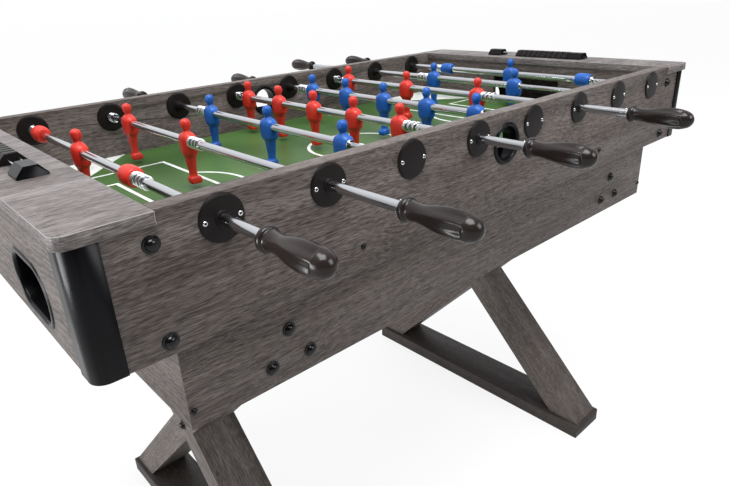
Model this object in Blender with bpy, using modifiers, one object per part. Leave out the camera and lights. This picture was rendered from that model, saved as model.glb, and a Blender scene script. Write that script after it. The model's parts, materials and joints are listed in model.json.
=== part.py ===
"""Foosball table with eight telescopic rods, for Blender 4.5.

Metres, +Z up, standing on z = 0. X runs along the table, from the red goal to the blue
goal, and Y across it, from the front players to the back players.
"""

from math import atan2, cos, pi, radians, sin

import bmesh
import bpy
from mathutils import Matrix, Vector

GAP = 0.0003  # left between pieces that touch

# ---- Rods: spacing and height set the size of everything else ------------------
PITCH = 0.150
ROD_COUNT = 8
ROD_Z = 0.882
TUBE_R = 0.0070
TUBE_BORE_R = 0.0047
INNER_ROD_R = 0.0045
INNER_ROD_REACH = 0.150  # how far the thin rod runs past the table's centre line
SPRING_R = 0.0098
SPRING_LENGTH = 0.042
END_RING_R = 0.0092
END_RING_LENGTH = 0.008
BUFFER_LENGTH = 0.022  # short spring on the thin rod, against the blank bearing
KNUCKLE_ROOM = 0.080  # left between a handle and the cabinet at full push
ROD_SIDES = 12

# ---- Players ------------------------------------------------------------------
MAN_HALF_WIDTH = 0.012
# height from the rod's axis, half depth, half width, how far forward it stands
MAN_SECTIONS = (
    (-0.0735, 0.0095, 0.0105, 0.0018),
    (-0.0640, 0.0090, 0.0100, 0.0018),
    (-0.0600, 0.0065, 0.0085, 0.0),
    (-0.0240, 0.0095, 0.0125, 0.0),
    (0.0040, 0.0120, 0.0175, 0.0),
    (0.0170, 0.0058, 0.0065, 0.0),
    (0.0270, 0.0088, 0.0092, 0.0),
    (0.0373, 0.0045, 0.0048, 0.0),
)
MAN_SIDES = 6
MEN_LAP = 0.001  # how far the spring and the end ring run into the last man
BUMPER_R = 0.0150
BUMPER_HALF = 0.018
MEN_SPACING = {1: 0.0, 2: 0.244, 3: 0.208, 5: 0.122}
BUMPER_OFFSET = 0.206

# label, men, team, handle side (-1 front, +1 back), how far the rod is pushed along Y
RODS = (
    ("red_goalie", 1, "red", -1, 0.0840),
    ("red_defence", 2, "red", -1, 0.1285),
    ("blue_attack", 3, "blue", 1, -0.0110),
    ("red_midfield", 5, "red", -1, 0.0485),
    ("blue_midfield", 5, "blue", 1, 0.0),
    ("red_attack", 3, "red", -1, 0.0770),
    ("blue_defence", 2, "blue", 1, 0.0015),
    ("blue_goalie", 1, "blue", 1, -0.0040),
)

# ---- Cabinet ------------------------------------------------------------------
TABLE_TOP = ROD_Z + 0.030
BOARD_T = 0.015
BOARD_HALF_L = 0.6965
BOARD_HALF_W = 0.3725
BOARD_INNER_X = 0.5985
BOARD_CORNER_R = 0.013
SIDE_OUT = 0.3675
SIDE_T = 0.025
SIDE_IN = SIDE_OUT - SIDE_T
SIDE_HALF_L = 0.672
CABINET_BOTTOM = ROD_Z - 0.1374
END_OUT = 0.690
END_T = 0.015
GOAL_WALL_X = 0.602
GOAL_WALL_T = 0.012
TRAY_T = 0.009
FIELD_Z = ROD_Z - 0.0815
FIELD_T = 0.009
GOAL_HALF_W = 0.100
GOAL_HEIGHT = 0.059
RETURN_Y = 0.192  # ball return, towards the player's right hand at each end
RETURN_Z = ROD_Z - 0.0835
RETURN_HALF_W = 0.0650
RETURN_HALF_H = 0.0350
ENTRY_Z = ROD_Z - 0.0225
ENTRY_R = 0.0295
CUT_PAST = 0.010  # how far a cutter runs past what it cuts

# ---- Corner trims -------------------------------------------------------------
TRIM_PROUD = 0.0020
TRIM_FRONT_X = 0.656
TRIM_END_Y = 0.330
TRIM_CORNER_R = 0.018

# ---- Base ---------------------------------------------------------------------
APRON_HALF_L = 0.593
APRON_T = 0.018
APRON_BOTTOM = ROD_Z - 0.2667
LEG_X = 0.4374
LEG_HALF_T = 0.0441
LEG_CROSS_Z = 0.355
LEG_SLOPE = atan2(1.856, 1.837)
LEG_HALF_W = 0.0284
LEG_BEAM_L = 1.2  # before its ends are trimmed to the foot board and the apron
CHEEK_T = 0.030
CHEEK_BOTTOM = 0.628
CHEEK_TOP = 0.716
FOOT_X = 0.43575
FOOT_HALF_W = 0.054
FOOT_HALF_L = 0.3632
FOOT_T = 0.0338
FOOT_CHAMFER = 0.0015

# ---- Bearings and handles -----------------------------------------------------
FLANGE_R = 0.0285
FLANGE_T = 0.0028
BARREL_R = 0.0105
HUB_R = 0.0100
HUB_T = 0.0025  # outside, where the tube leaves
INNER_HUB_T = 0.0080  # inside, where the long spring lands
TUBE_RUN_R = 0.0073
ROD_RUN_R = 0.0048
WALL_HOLE_R = 0.0120
WALL_HOLE_SIDES = 8
HANDLE_LENGTH = 0.107
HANDLE_BORE_R = 0.0073
HANDLE_BORE_DEPTH = 0.090
TUBE_PLUG = 0.004  # closed end of the tube, inside the handle

# ---- Scorers ------------------------------------------------------------------
SCORER_X = 0.6465
SCORER_HALF_L = 0.141
SCORER_BLOCK_L = 0.040
SCORER_HALF_BASE = 0.0188
SCORER_HALF_TOP = 0.0080
SCORER_HEIGHT = 0.0150
SCORER_ROD_R = 0.0015
SCORER_ROD_X = 0.0062
SCORER_ROD_Z = 0.0075
BEAD_COUNT = 10
BEAD_PITCH = 0.0153
BEAD_LENGTH = 0.0133
BEAD_HOLE_R = 0.0019
BEAD_CORE_SHRINK = 0.0025  # how far the core between the beads stands back
BEAD_CORE_INSET = 0.001

FLANGE_FACE = SIDE_IN - GAP - FLANGE_T  # where a spring meets the bearing
STACK_LENGTH = (BEAD_COUNT - 1) * BEAD_PITCH + BEAD_LENGTH
SCORER_ROOM = SCORER_HALF_L - SCORER_BLOCK_L - GAP  # from the middle to where beads stop
BEAD_START = {"left": SCORER_ROOM - STACK_LENGTH, "right": -SCORER_ROOM}

COLOURS = {
    # name: (colour, roughness, metallic)
    "oak_laminate": ((0.160, 0.132, 0.120), 0.45, 0.0),
    "oak_laminate_light": ((0.300, 0.285, 0.285), 0.42, 0.0),
    "dark_laminate": ((0.035, 0.028, 0.025), 0.5, 0.0),
    "playfield_green": ((0.040, 0.110, 0.025), 0.35, 0.0),
    "black_plastic": ((0.012, 0.012, 0.014), 0.35, 0.0),
    "brown_black_plastic": ((0.028, 0.021, 0.018), 0.22, 0.0),
    "steel": ((0.62, 0.62, 0.64), 0.25, 1.0),
    "red_plastic": ((0.62, 0.035, 0.025), 0.35, 0.0),
    "blue_plastic": ((0.018, 0.085, 0.42), 0.35, 0.0),
}


def rod_x(index):
    """X of a rod's axis, counted from 0 at the red goal."""
    return (index - (ROD_COUNT - 1) / 2) * PITCH


def men_offsets(men):
    """Places of the men along their rod, from the middle of the group."""
    return [(i - (men - 1) / 2) * MEN_SPACING[men] for i in range(men)]


def group_reach(men):
    """From the middle of a rod's group to the outer face of its last man or bumper."""
    if men == 1:
        return BUMPER_OFFSET + BUMPER_HALF
    return men_offsets(men)[-1] + MAN_HALF_WIDTH


def travel_to_blank(men):
    """How far a centred rod can be pushed in before its end ring meets the buffer."""
    return FLANGE_FACE - BUFFER_LENGTH - GAP - group_reach(men) - END_RING_LENGTH


def collar_distance(men):
    """From the middle of a rod's group to the near face of its handle."""
    return SIDE_OUT + FLANGE_T + travel_to_blank(men) + KNUCKLE_ROOM


def handle_tip(rod):
    """Y of a rod's handle tip, from the table's centre line."""
    _, men, _, side, shift = rod
    return side * (collar_distance(men) + HANDLE_LENGTH) + shift


# The origin is the middle of the footprint, handles included, so the table's own
# centre line lies a little to the front of it.
TIPS = [handle_tip(rod) for rod in RODS]
TABLE_Y = -(max(TIPS) + min(TIPS)) / 2


# ---- Scene and helpers --------------------------------------------------------
def clear_scene():
    for obj in list(bpy.data.objects):
        bpy.data.objects.remove(obj, do_unlink=True)


def new_collection(name):
    collection = bpy.data.collections.new(name)
    bpy.context.scene.collection.children.link(collection)
    return collection


def make_materials():
    made = {}
    for name, (colour, roughness, metallic) in COLOURS.items():
        material = bpy.data.materials.new(name)
        material.use_nodes = True
        shader = material.node_tree.nodes["Principled BSDF"]
        shader.inputs["Base Color"].default_value = (*colour, 1.0)
        shader.inputs["Roughness"].default_value = roughness
        shader.inputs["Metallic"].default_value = metallic
        material.diffuse_color = (*colour, 1.0)
        made[name] = material
    return made


clear_scene()
PARTS = new_collection("foosball_table")
CUTTERS = new_collection("cutters")
MATERIALS = make_materials()
TABLE = bpy.data.objects.new("table_centre_line", None)
TABLE.location = (0, TABLE_Y, 0)
PARTS.objects.link(TABLE)


def add_part(name, bm, material, parent=TABLE, smooth=False):
    """Turn a bmesh into a named part, in its parent's frame."""
    mesh = bpy.data.meshes.new(name)
    bm.to_mesh(mesh)
    bm.free()
    obj = bpy.data.objects.new(name, mesh)
    obj.parent = parent
    mesh.materials.append(MATERIALS[material])
    if smooth:
        mesh.shade_smooth()
        mesh.set_sharp_from_angle(angle=radians(35))
    PARTS.objects.link(obj)
    return obj


def add_axis(name, location):
    """An empty on a joint's axis, for the pieces that move about it."""
    empty = bpy.data.objects.new(name, None)
    empty.parent = TABLE
    empty.location = location
    PARTS.objects.link(empty)
    return empty


def add_box(bm, low, high):
    low, high = Vector(low), Vector(high)
    size = Matrix.Diagonal((*(high - low), 1))
    bmesh.ops.create_cube(bm, size=1, matrix=Matrix.Translation((low + high) / 2) @ size)


def add_rod(bm, radius, low, high, x=0.0, z=0.0, sides=ROD_SIDES):
    """A cylinder along Y, from y = low to y = high."""
    turn = Matrix.Rotation(-pi / 2, 4, "X")
    place = Matrix.Translation((x, (low + high) / 2, z))
    bmesh.ops.create_cone(
        bm,
        cap_ends=True,
        segments=sides,
        radius1=radius,
        radius2=radius,
        depth=high - low,
        matrix=place @ turn,
    )


def add_loft(bm, sections, y, facing, sides):
    """A closed skin through oval sections, bottom to top, standing on the line x = 0."""
    rings = []
    for z, half_x, half_y, forward in sections:
        ring = []
        for step in range(sides):
            angle = 2 * pi * step / sides
            place = (cos(angle) * half_x + facing * forward, y + sin(angle) * half_y, z)
            ring.append(bm.verts.new(place))
        rings.append(ring)
    for lower, upper in zip(rings, rings[1:]):
        for i in range(sides):
            j = (i + 1) % sides
            bm.faces.new((lower[i], lower[j], upper[j], upper[i]))
    bm.faces.new(reversed(rings[0]))
    bm.faces.new(rings[-1])


def cut(obj, name, build, merge_shells=False):
    """Cut from obj the shapes that build(bm) adds to a hidden cutter."""
    bm = bmesh.new()
    build(bm)
    mesh = bpy.data.meshes.new(name)
    bm.to_mesh(mesh)
    bm.free()
    cutter = bpy.data.objects.new(name, mesh)
    cutter.parent = obj.parent
    cutter.hide_render = True
    cutter.display_type = "WIRE"
    CUTTERS.objects.link(cutter)
    boolean = obj.modifiers.new(name, "BOOLEAN")
    boolean.operation = "DIFFERENCE"
    boolean.solver = "EXACT"
    boolean.use_self = merge_shells
    boolean.object = cutter


def turned(name, outline, material, parent=TABLE, location=(0, 0, 0), mirror=False):
    """A piece turned about Y. outline is (radius, y) points, outer side first, high y to low."""
    bm = bmesh.new()
    if mirror:
        outline = [(radius, -y) for radius, y in reversed(outline)]
    verts = [bm.verts.new((radius, y, 0)) for radius, y in outline]
    pairs = list(zip(verts, verts[1:]))
    if outline[0][0] > 0 or outline[-1][0] > 0:
        pairs.append((verts[-1], verts[0]))
    for pair in pairs:
        bm.edges.new(pair)
    obj = add_part(name, bm, material, parent)
    obj.location = location
    screw = obj.modifiers.new("turn", "SCREW")
    screw.axis = "Y"
    screw.steps = screw.render_steps = ROD_SIDES
    screw.use_merge_vertices = True
    screw.merge_threshold = 0.00005
    screw.use_smooth_shade = True
    return obj


# ---- Cabinet ------------------------------------------------------------------
def entry_hole(bm):
    add_rod(bm, ENTRY_R, -SIDE_OUT - SIDE_T, SIDE_OUT + SIDE_T, z=ENTRY_Z, sides=24)


def rod_holes(bm):
    for index in range(ROD_COUNT):
        x = rod_x(index)
        add_rod(bm, WALL_HOLE_R, -SIDE_OUT - SIDE_T, SIDE_OUT + SIDE_T, x, ROD_Z, WALL_HOLE_SIDES)


def board_rebates(bm):
    """Steps at both ends of a side panel, where the end boards lie on it."""
    for sign in (-1, 1):
        ends = sorted((sign * (BOARD_INNER_X - GAP), sign * BOARD_HALF_L))
        low = (ends[0], -BOARD_HALF_W, TABLE_TOP - BOARD_T - GAP)
        add_box(bm, low, (ends[1], BOARD_HALF_W, TABLE_TOP + BOARD_T))


def make_side_panel(name, sign):
    bm = bmesh.new()
    inner, outer = sorted((sign * SIDE_IN, sign * SIDE_OUT))
    add_box(bm, (-SIDE_HALF_L, inner, CABINET_BOTTOM), (SIDE_HALF_L, outer, TABLE_TOP))
    panel = add_part(name, bm, "oak_laminate")

    def shapes(cutter):
        entry_hole(cutter)
        rod_holes(cutter)
        board_rebates(cutter)

    cut(panel, name + "_cuts", shapes)


def end_box_cavity(bm, sign):
    """Leaves the outer panel, the tray the ball lands on and the goal wall."""
    low, high = sorted((sign * (GOAL_WALL_X + GOAL_WALL_T), sign * (END_OUT - END_T)))
    floor = CABINET_BOTTOM + TRAY_T
    add_box(bm, (low, -SIDE_OUT, floor), (high, SIDE_OUT, TABLE_TOP))


def goal_mouth(bm, sign):
    ends = (sign * (GOAL_WALL_X - CUT_PAST), sign * (GOAL_WALL_X + GOAL_WALL_T + CUT_PAST))
    low, high = sorted(ends)
    add_box(bm, (low, -GOAL_HALF_W, FIELD_Z), (high, GOAL_HALF_W, FIELD_Z + GOAL_HEIGHT))


def return_opening(bm, sign):
    """A hole with round ends through the outer panel."""
    centre_x = sign * (END_OUT - END_T / 2)
    centre_y = sign * RETURN_Y
    straight = RETURN_HALF_W - RETURN_HALF_H
    turn = Matrix.Rotation(pi / 2, 4, "Y")
    made = bmesh.ops.create_cone(
        bm, cap_ends=True, segments=24, radius1=RETURN_HALF_H, radius2=RETURN_HALF_H,
        depth=2 * END_T, matrix=Matrix.Translation((centre_x, 0, RETURN_Z)) @ turn,
    )["verts"]
    for vert in made:
        vert.co.y += centre_y + straight * ((vert.co.y > 0) - (vert.co.y < 0))


def make_end_box(name, sign):
    bm = bmesh.new()
    low, high = sorted((sign * GOAL_WALL_X, sign * END_OUT))
    half_w = SIDE_IN - GAP
    add_box(bm, (low, -half_w, CABINET_BOTTOM), (high, half_w, TABLE_TOP - BOARD_T - GAP))
    box = add_part(name, bm, "oak_laminate")

    def shapes(cutter):
        end_box_cavity(cutter, sign)
        goal_mouth(cutter, sign)
        return_opening(cutter, sign)

    cut(box, name + "_cuts", shapes, merge_shells=True)


def make_top_board(name, sign):
    bm = bmesh.new()
    low, high = sorted((sign * BOARD_INNER_X, sign * BOARD_HALF_L))
    add_box(bm, (low, -BOARD_HALF_W, TABLE_TOP - BOARD_T), (high, BOARD_HALF_W, TABLE_TOP))
    outer = [
        edge for edge in bm.edges
        if all(abs(abs(vert.co.x) - BOARD_HALF_L) < GAP for vert in edge.verts)
        and abs(edge.verts[0].co.z - edge.verts[1].co.z) > BOARD_T / 2
    ]
    bmesh.ops.bevel(bm, geom=outer, offset=BOARD_CORNER_R, segments=5, profile=0.5, affect="EDGES")
    add_part(name, bm, "oak_laminate_light")


def make_playfield():
    bm = bmesh.new()
    half_l, half_w = GOAL_WALL_X - GAP, SIDE_IN - GAP
    add_box(bm, (-half_l, -half_w, FIELD_Z - FIELD_T), (half_l, half_w, FIELD_Z))
    add_part("playfield", bm, "playfield_green")


def trim_outline():
    """Section of a corner trim at +X +Y: a rounded corner post with two proud flanges."""
    out_x, out_y = END_OUT + TRIM_PROUD, SIDE_OUT + TRIM_PROUD
    centre = (out_x - TRIM_CORNER_R, out_y - TRIM_CORNER_R)
    arc = [
        (centre[0] + TRIM_CORNER_R * cos(angle), centre[1] + TRIM_CORNER_R * sin(angle))
        for angle in (i * pi / 16 for i in range(9))
    ]
    back_x, back_y = SIDE_HALF_L + GAP, SIDE_IN
    return arc + [
        (TRIM_FRONT_X, out_y),
        (TRIM_FRONT_X, SIDE_OUT + GAP),
        (back_x, SIDE_OUT + GAP),
        (back_x, back_y),
        (END_OUT + GAP, back_y),
        (END_OUT + GAP, TRIM_END_Y),
        (out_x, TRIM_END_Y),
    ]


def make_corner_trim(name, sign_x, sign_y):
    top = TABLE_TOP - BOARD_T - GAP
    bm = bmesh.new()
    outline = [(sign_x * x, sign_y * y) for x, y in trim_outline()]
    face = bm.faces.new([bm.verts.new((x, y, CABINET_BOTTOM)) for x, y in outline])
    moved = bmesh.ops.extrude_face_region(bm, geom=[face])["geom"]
    tops = [item for item in moved if isinstance(item, bmesh.types.BMVert)]
    bmesh.ops.translate(bm, verts=tops, vec=(0, 0, top - CABINET_BOTTOM))
    bmesh.ops.recalc_face_normals(bm, faces=bm.faces)
    add_part(name, bm, "black_plastic", smooth=True)


# ---- Base ---------------------------------------------------------------------
def make_apron():
    bm = bmesh.new()
    half_w = SIDE_IN - GAP
    top = FIELD_Z - FIELD_T - GAP
    add_box(bm, (-APRON_HALF_L, -half_w, APRON_BOTTOM), (APRON_HALF_L, half_w, top))
    apron = add_part("apron", bm, "oak_laminate")

    def inside(cutter):
        inner_l, inner_w = APRON_HALF_L - APRON_T, half_w - APRON_T
        low = (-inner_l, -inner_w, APRON_BOTTOM - CUT_PAST)
        add_box(cutter, low, (inner_l, inner_w, top + CUT_PAST))

    cut(apron, "apron_inside", inside)


def make_leg_frame(name, sign):
    """Two crossed beams with upright cheeks that bolt inside the apron."""
    centre_x = sign * LEG_X
    end_y = SIDE_IN - GAP - APRON_T - GAP
    bm = bmesh.new()
    for tilt in (-1, 1):
        cross = Matrix.Translation((centre_x, 0, LEG_CROSS_Z))
        beam = cross @ Matrix.Rotation(tilt * LEG_SLOPE, 4, "X")
        size = Matrix.Diagonal((2 * LEG_HALF_T, LEG_BEAM_L, 2 * LEG_HALF_W, 1))
        bmesh.ops.create_cube(bm, size=1, matrix=beam @ size)
    for side in (-1, 1):
        low_y, high_y = sorted((side * (end_y - CHEEK_T), side * end_y))
        low = (centre_x - LEG_HALF_T, low_y, CHEEK_BOTTOM)
        add_box(bm, low, (centre_x + LEG_HALF_T, high_y, CHEEK_TOP))
    frame = add_part(name, bm, "oak_laminate")

    def trims(cutter):
        low_x, high_x = centre_x - 2 * LEG_HALF_T, centre_x + 2 * LEG_HALF_T
        far = LEG_BEAM_L
        add_box(cutter, (low_x, -far, -far), (high_x, far, FOOT_T + GAP))
        add_box(cutter, (low_x, -far / 2, CHEEK_TOP), (high_x, far / 2, far))
        for side in (-1, 1):
            low_y, high_y = sorted((side * end_y, side * far))
            low = (low_x, low_y, LEG_CROSS_Z + LEG_HALF_W)
            add_box(cutter, low, (high_x, high_y, CHEEK_TOP + 2 * GAP))

    cut(frame, name + "_trims", trims, merge_shells=True)


def make_foot_board(name, sign):
    bm = bmesh.new()
    low_x, high_x = sign * FOOT_X - FOOT_HALF_W, sign * FOOT_X + FOOT_HALF_W
    add_box(bm, (low_x, -FOOT_HALF_L, 0), (high_x, FOOT_HALF_L, FOOT_T))
    top = [edge for edge in bm.edges if all(vert.co.z > FOOT_T / 2 for vert in edge.verts)]
    bmesh.ops.bevel(bm, geom=top, offset=FOOT_CHAMFER, segments=1, affect="EDGES")
    add_part(name, bm, "dark_laminate")


# ---- Scorers ------------------------------------------------------------------
def add_scorer_prism(bm, x, low_y, high_y, base, shrink=0.0):
    """A bar along Y with sloping sides, standing on z = base."""
    made = bmesh.ops.create_cube(bm, size=1)["verts"]
    for vert in made:
        top = vert.co.z > 0
        half = (SCORER_HALF_TOP if top else SCORER_HALF_BASE) - shrink
        vert.co = Vector((
            x + half * (1 if vert.co.x > 0 else -1),
            high_y if vert.co.y > 0 else low_y,
            base + (SCORER_HEIGHT - shrink if top else shrink),
        ))


def make_scorer(side, sign):
    x = sign * SCORER_X
    base = TABLE_TOP + GAP
    rail_z = base + SCORER_ROD_Z
    block_in = SCORER_HALF_L - SCORER_BLOCK_L
    wire_end = block_in + CUT_PAST
    rail = bmesh.new()
    add_scorer_prism(rail, x, -SCORER_HALF_L, -block_in, base)
    add_scorer_prism(rail, x, block_in, SCORER_HALF_L, base)
    for offset in (-SCORER_ROD_X, SCORER_ROD_X):
        add_rod(rail, SCORER_ROD_R, -wire_end, wire_end, x + offset, rail_z, sides=8)
    rail_part = add_part(f"scorer_rail_{side}", rail, "black_plastic")

    def below(cutter):
        low = (x - BOARD_T * 3, -2 * SCORER_HALF_L, base - CUT_PAST)
        add_box(cutter, low, (x + BOARD_T * 3, 2 * SCORER_HALF_L, base - GAP / 2))

    cut(rail_part, f"scorer_rail_{side}_base", below, merge_shells=True)

    axis = add_axis(f"scorer_slide_{side}", (x, BEAD_START[side], rail_z))
    beads = bmesh.new()
    local_base = -SCORER_ROD_Z + GAP
    for index in range(BEAD_COUNT):
        low_y = index * BEAD_PITCH
        add_scorer_prism(beads, 0, low_y, low_y + BEAD_LENGTH, local_base)
    core = (BEAD_CORE_INSET, STACK_LENGTH - BEAD_CORE_INSET)
    add_scorer_prism(beads, 0, *core, local_base, shrink=BEAD_CORE_SHRINK)
    bead_part = add_part(f"scorer_beads_{side}", beads, "black_plastic", parent=axis)

    def holes(cutter):
        for offset in (-SCORER_ROD_X, SCORER_ROD_X):
            add_rod(cutter, BEAD_HOLE_R, -CUT_PAST, STACK_LENGTH + CUT_PAST, x=offset, sides=8)

    cut(bead_part, f"scorer_beads_{side}_holes", holes, merge_shells=True)


# ---- Rods ---------------------------------------------------------------------
def add_bumper(bm, y):
    add_rod(bm, BUMPER_R, y - BUMPER_HALF, y + BUMPER_HALF)


def make_men_tube(label, men, team, side, axis):
    """The sliding tube, with its men, bumpers, long spring and end ring."""
    facing = 1 if team == "red" else -1
    reach = group_reach(men)
    ring_end = reach + END_RING_LENGTH
    handle_end = collar_distance(men) + HANDLE_BORE_DEPTH - GAP
    bm = bmesh.new()

    def along(radius, near, far):
        low, high = sorted((side * near, side * far))
        add_rod(bm, radius, low, high)

    along(TUBE_R, -ring_end, handle_end)
    along(END_RING_R, -ring_end, -reach + MEN_LAP)
    along(SPRING_R, reach - MEN_LAP, reach + SPRING_LENGTH)
    for offset in men_offsets(men):
        add_loft(bm, MAN_SECTIONS, offset, facing, MAN_SIDES)
    if men == 1:
        add_bumper(bm, -BUMPER_OFFSET)
        add_bumper(bm, BUMPER_OFFSET)
    tube = add_part(f"{label}_men_tube", bm, f"{team}_plastic", parent=axis, smooth=True)

    def bore(cutter):
        low, high = sorted((-side * (ring_end + CUT_PAST), side * (handle_end - TUBE_PLUG)))
        add_rod(cutter, TUBE_BORE_R, low, high)

    cut(tube, f"{label}_bore", bore, merge_shells=True)


def make_inner_rod(label, side, axis):
    """The thin rod that turns in the blank bearing, with its short buffer spring."""
    start = SIDE_OUT - FLANGE_T
    buffer_face = FLANGE_FACE - GAP
    outline = [
        (0, INNER_ROD_REACH),
        (INNER_ROD_R, INNER_ROD_REACH),
        (INNER_ROD_R, -buffer_face + BUFFER_LENGTH),
        (SPRING_R, -buffer_face + BUFFER_LENGTH),
        (SPRING_R, -buffer_face),
        (INNER_ROD_R, -buffer_face),
        (INNER_ROD_R, -start),
        (0, -start),
    ]
    turned(f"{label}_inner_rod", outline, "steel", parent=axis, mirror=side < 0)


def handle_outline():
    """Outer side from the tip to the collar, then the blind bore: (radius, y) points."""
    grip = [
        (0.0, 107.0), (10.0, 104.0), (16.0, 92.5), (17.2, 77.0), (12.8, 39.0),
        (11.0, 23.0), (14.6, 7.0), (13.2, 0.0),
    ]
    bore = [(HANDLE_BORE_R, 0.0), (HANDLE_BORE_R, HANDLE_BORE_DEPTH), (0.0, HANDLE_BORE_DEPTH)]
    return [(radius / 1000, y / 1000) for radius, y in grip] + bore


def make_handle(label, men, side, axis):
    location = (0, side * collar_distance(men), 0)
    turned(
        f"{label}_handle", handle_outline(), "brown_black_plastic",
        parent=axis, location=location, mirror=side < 0,
    )


def bearing_outline(handle_side):
    """Two flanges on a barrel through the wall. y = 0 is the wall's middle, +y the outside."""
    half = SIDE_T / 2 + GAP
    face = half + FLANGE_T
    spool = [
        (FLANGE_R, face), (FLANGE_R, half), (BARREL_R, half),
        (BARREL_R, -half), (FLANGE_R, -half), (FLANGE_R, -face),
    ]
    if not handle_side:
        bottom = half - GAP
        return [(0, face), *spool, (ROD_RUN_R, -face), (ROD_RUN_R, bottom), (0, bottom)]
    outer, inner = face + HUB_T, -face - INNER_HUB_T
    outer_hub = [(TUBE_RUN_R, outer), (HUB_R, outer), (HUB_R, face)]
    inner_hub = [(HUB_R, -face), (HUB_R, inner), (TUBE_RUN_R, inner)]
    return outer_hub + spool + inner_hub


def make_bearing(name, x, sign, handle_side):
    turned(
        name, bearing_outline(handle_side), "black_plastic",
        location=(x, sign * (SIDE_IN + SIDE_T / 2), ROD_Z), mirror=sign < 0,
    )


def make_rod(index, rod):
    label, men, team, side, shift = rod
    x = rod_x(index)
    spin = add_axis(f"{label}_spin", (x, 0, ROD_Z))
    slide = add_axis(f"{label}_slide", (x, shift, ROD_Z))
    make_inner_rod(label, side, spin)
    make_men_tube(label, men, team, side, slide)
    make_handle(label, men, side, slide)
    make_bearing(f"{label}_front_bearing", x, -1, side < 0)
    make_bearing(f"{label}_back_bearing", x, 1, side > 0)


def main():
    for name, sign in (("front", -1), ("back", 1)):
        make_side_panel(f"side_panel_{name}", sign)
        for end, sign_x in (("left", -1), ("right", 1)):
            make_corner_trim(f"corner_trim_{name}_{end}", sign_x, sign)
    for side, sign in (("left", -1), ("right", 1)):
        make_end_box(f"end_box_{side}", sign)
        make_top_board(f"top_board_{side}", sign)
        make_leg_frame(f"leg_frame_{side}", sign)
        make_foot_board(f"foot_board_{side}", sign)
        make_scorer(side, sign)
    make_playfield()
    make_apron()
    for index, rod in enumerate(RODS):
        make_rod(index, rod)


main()
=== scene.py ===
"""Looks of the foosball table: materials, players, springs, trims, light and camera.

Metres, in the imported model's own frame. The table lies along X with the red goal on the
left, and its front players stand on the -Y side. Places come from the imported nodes.
"""

import json
from math import acos, cos, exp, pi, radians, sin, tau

import bmesh
import bpy
from mathutils import Euler, Matrix, Vector

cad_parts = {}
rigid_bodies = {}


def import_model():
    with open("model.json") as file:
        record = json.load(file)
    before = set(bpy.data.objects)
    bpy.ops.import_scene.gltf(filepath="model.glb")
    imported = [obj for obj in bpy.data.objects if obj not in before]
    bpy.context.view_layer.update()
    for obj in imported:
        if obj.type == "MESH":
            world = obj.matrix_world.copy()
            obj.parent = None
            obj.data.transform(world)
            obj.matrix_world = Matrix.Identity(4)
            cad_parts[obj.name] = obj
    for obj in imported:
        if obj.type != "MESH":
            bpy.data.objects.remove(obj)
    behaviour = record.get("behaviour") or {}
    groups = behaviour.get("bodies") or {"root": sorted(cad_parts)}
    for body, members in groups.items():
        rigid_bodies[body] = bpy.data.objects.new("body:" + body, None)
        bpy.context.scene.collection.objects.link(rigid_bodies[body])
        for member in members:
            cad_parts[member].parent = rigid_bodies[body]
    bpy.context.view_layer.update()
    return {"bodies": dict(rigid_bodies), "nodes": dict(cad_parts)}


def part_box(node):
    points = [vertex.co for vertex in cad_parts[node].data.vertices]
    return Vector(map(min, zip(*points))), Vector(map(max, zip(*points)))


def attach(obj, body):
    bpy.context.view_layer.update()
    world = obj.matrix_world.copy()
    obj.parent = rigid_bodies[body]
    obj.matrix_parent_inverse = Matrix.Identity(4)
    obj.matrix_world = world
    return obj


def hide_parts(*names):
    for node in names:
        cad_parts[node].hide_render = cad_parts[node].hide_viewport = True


for startup in list(bpy.data.objects):
    bpy.data.objects.remove(startup, do_unlink=True)
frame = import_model()

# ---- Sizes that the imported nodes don't give -----------------------------------
TUBE_R = 0.0070
TUBE_BORE_R = 0.0047
TUBE_IN_GRIP = 0.094
THIN_ROD_R = 0.0045
MAN_HALF_WIDTH = 0.012
BUMPER_OFFSET = 0.206
BUMPER_HALF = 0.018
BUMPER_R = 0.0150
SPRING_LENGTH = 0.042
SPRING_R = 0.0098
SPRING_WIRE = 0.0016
TIGHT_COILS = 0.0066  # length of the two close turns next to the last man
BUFFER_WIRE = 0.0011
RING_LENGTH = 0.008
BUFFER_LENGTH = 0.022
MEN = {"goalie": 1, "defence": 2, "attack": 3, "midfield": 5}
MEN_SPACING = {1: 0.0, 2: 0.244, 3: 0.208, 5: 0.122}
FLANGE_R = 0.0284
FLANGE_T = 0.0028
SCREW_OFFSET = 0.0217
GAP = 0.0003
LINE_W = 0.007
LINE_T = 0.00025

# ---- Layout, read from the frame ----------------------------------------------
FRONT_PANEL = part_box("side_panel_front")
BACK_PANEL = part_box("side_panel_back")
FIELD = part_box("playfield")
TABLE_Y = (FRONT_PANEL[0].y + BACK_PANEL[1].y) / 2
WALL_OUT = BACK_PANEL[1].y - TABLE_Y
WALL_IN = BACK_PANEL[0].y - TABLE_Y
FIELD_TOP = FIELD[1].z
ROD_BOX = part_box("red_midfield_inner_rod")
ROD_Z = (ROD_BOX[0].z + ROD_BOX[1].z) / 2


def table_point(x, y, z):
    """A point given from the table's own middle, as a point in the frame."""
    return Vector((x, TABLE_Y + y, z))


# ---- Node materials -----------------------------------------------------------
def linear(red, green, blue):
    """A screen colour, 0 to 255, as the linear colour that shaders take."""
    def channel(value):
        share = value / 255
        return share / 12.92 if share <= 0.04045 else ((share + 0.055) / 1.055) ** 2.4
    return (channel(red), channel(green), channel(blue), 1.0)


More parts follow.
